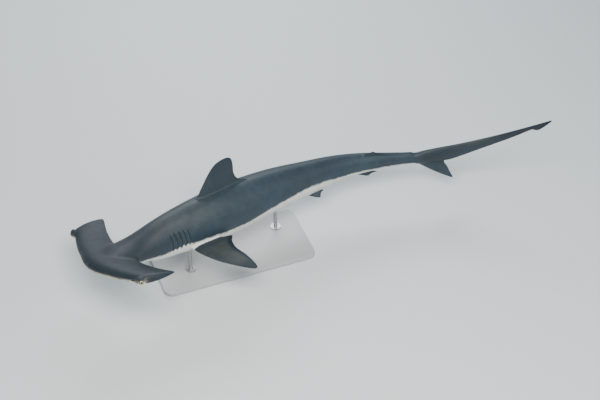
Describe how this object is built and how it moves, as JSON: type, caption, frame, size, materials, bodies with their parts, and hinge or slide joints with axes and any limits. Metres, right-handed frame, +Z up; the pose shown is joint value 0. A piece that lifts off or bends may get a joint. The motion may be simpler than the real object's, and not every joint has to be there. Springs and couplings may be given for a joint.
{
  "type": "smooth hammerhead shark display model",
  "caption": "Life-size smooth hammerhead shark in a swimming turn, with a wide arched head, tall first dorsal fin and long tail fin, held over a flat base by slim rods.",
  "frame": {"origin": "centre of the stand base's underside, on the floor", "axes": "+X towards the tail along the straight line from snout to tail tip seen from above, +Z up, the animal's left side towards -Y"},
  "size_m": [2.373, 0.7694, 0.5949],
  "materials": {
    "skin": "satin, slate grey above and cream below, fine rough grain",
    "eye": "polished, dark pupil in a dull gold iris",
    "base": "fine matt lacquer",
    "rod": "brushed along the rod"
  },
  "bodies": {
    "root": {"head": "skin", "gill_region": "skin", "trunk": "skin", "abdomen": "skin", "tail_stem": "skin", "caudal_fin_upper_lobe": "skin", "caudal_fin_lower_lobe": "skin", "first_dorsal_fin": "skin", "second_dorsal_fin": "skin", "anal_fin": "skin", "pectoral_fin_left": "skin", "pectoral_fin_right": "skin", "pelvic_fin_left": "skin", "pelvic_fin_right": "skin", "eye_left": "eye", "eye_right": "eye", "stand_base": "base", "stand_rod_front": "rod", "stand_rod_rear": "rod"}
  },
  "joints": []
}
